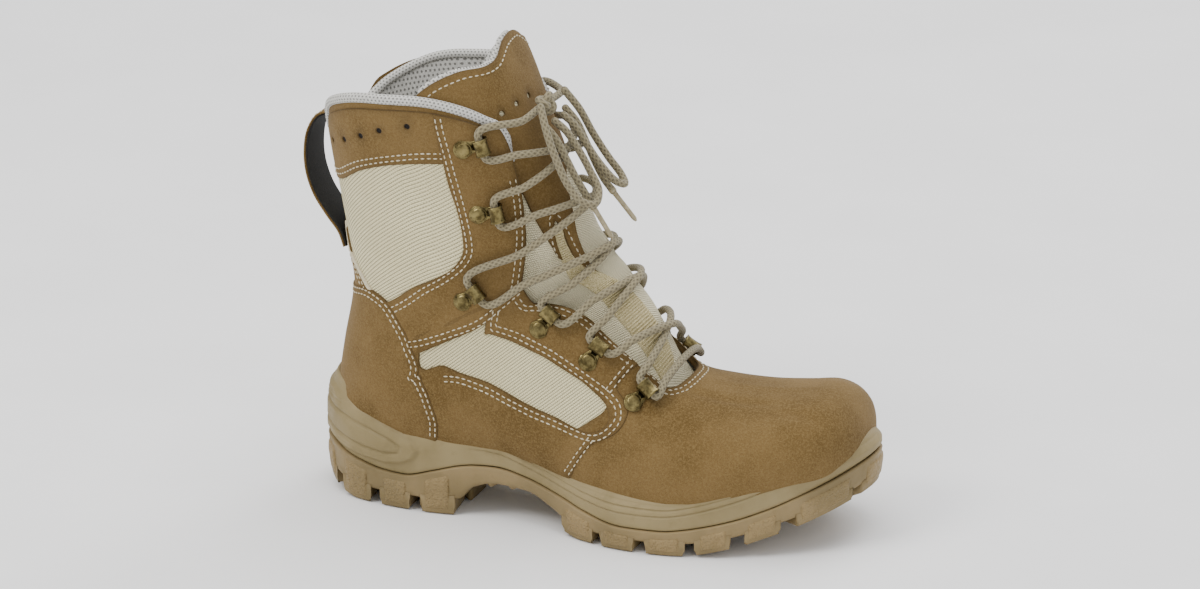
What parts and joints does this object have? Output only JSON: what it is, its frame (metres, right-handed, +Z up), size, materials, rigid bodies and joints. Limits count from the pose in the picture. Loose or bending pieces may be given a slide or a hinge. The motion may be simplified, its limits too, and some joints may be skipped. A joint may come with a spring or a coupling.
{
  "type": "combat boot",
  "caption": "Eight-inch desert combat boot with a suede and textile shaft, padded tongue, hook and ring lacing, heel pull loop and a lugged rubber sole.",
  "frame": {"origin": "on the ground, under the middle of the boot's bounding box without the free laces", "axes": "+X from the heel to the toe, +Y to the inner (medial) side, +Z up"},
  "size_m": [0.3088, 0.1156, 0.2531],
  "materials": {
    "suede": "rough-out suede, sand brown",
    "textile": "cream woven nylon",
    "lining": "light grey knitted mesh",
    "midsole": "matt khaki rubber foam",
    "outsole": "matt brown rubber",
    "hardware": "antique brass",
    "lace": "braided round lace"
  },
  "bodies": {
    "root": {"outsole": "outsole", "midsole": "midsole", "insole": "lining", "upper": "suede", "tongue": "textile", "pull_loop": "suede", "hook_top_lateral": "hardware", "hook_top_medial": "hardware", "hook_middle_lateral": "hardware", "hook_middle_medial": "hardware", "hook_ankle_lateral": "hardware", "hook_ankle_medial": "hardware", "eyelet_top_lateral": "hardware", "eyelet_top_medial": "hardware", "eyelet_middle_lateral": "hardware", "eyelet_middle_medial": "hardware", "eyelet_bottom_lateral": "hardware", "eyelet_bottom_medial": "hardware", "lace_bar_toe": "lace", "lace_cross_collar": "lace", "lace_cross_shaft": "lace", "lace_cross_ankle": "lace", "lace_cross_instep": "lace", "lace_cross_vamp": "lace", "lace_lead_lateral": "lace", "lace_lead_medial": "lace", "lace_knot": "lace", "lace_loop_near": "lace", "lace_loop_far": "lace", "lace_end_near": "lace", "aglet_near": "lace", "lace_end_far": "lace", "aglet_far": "lace"}
  },
  "joints": []
}
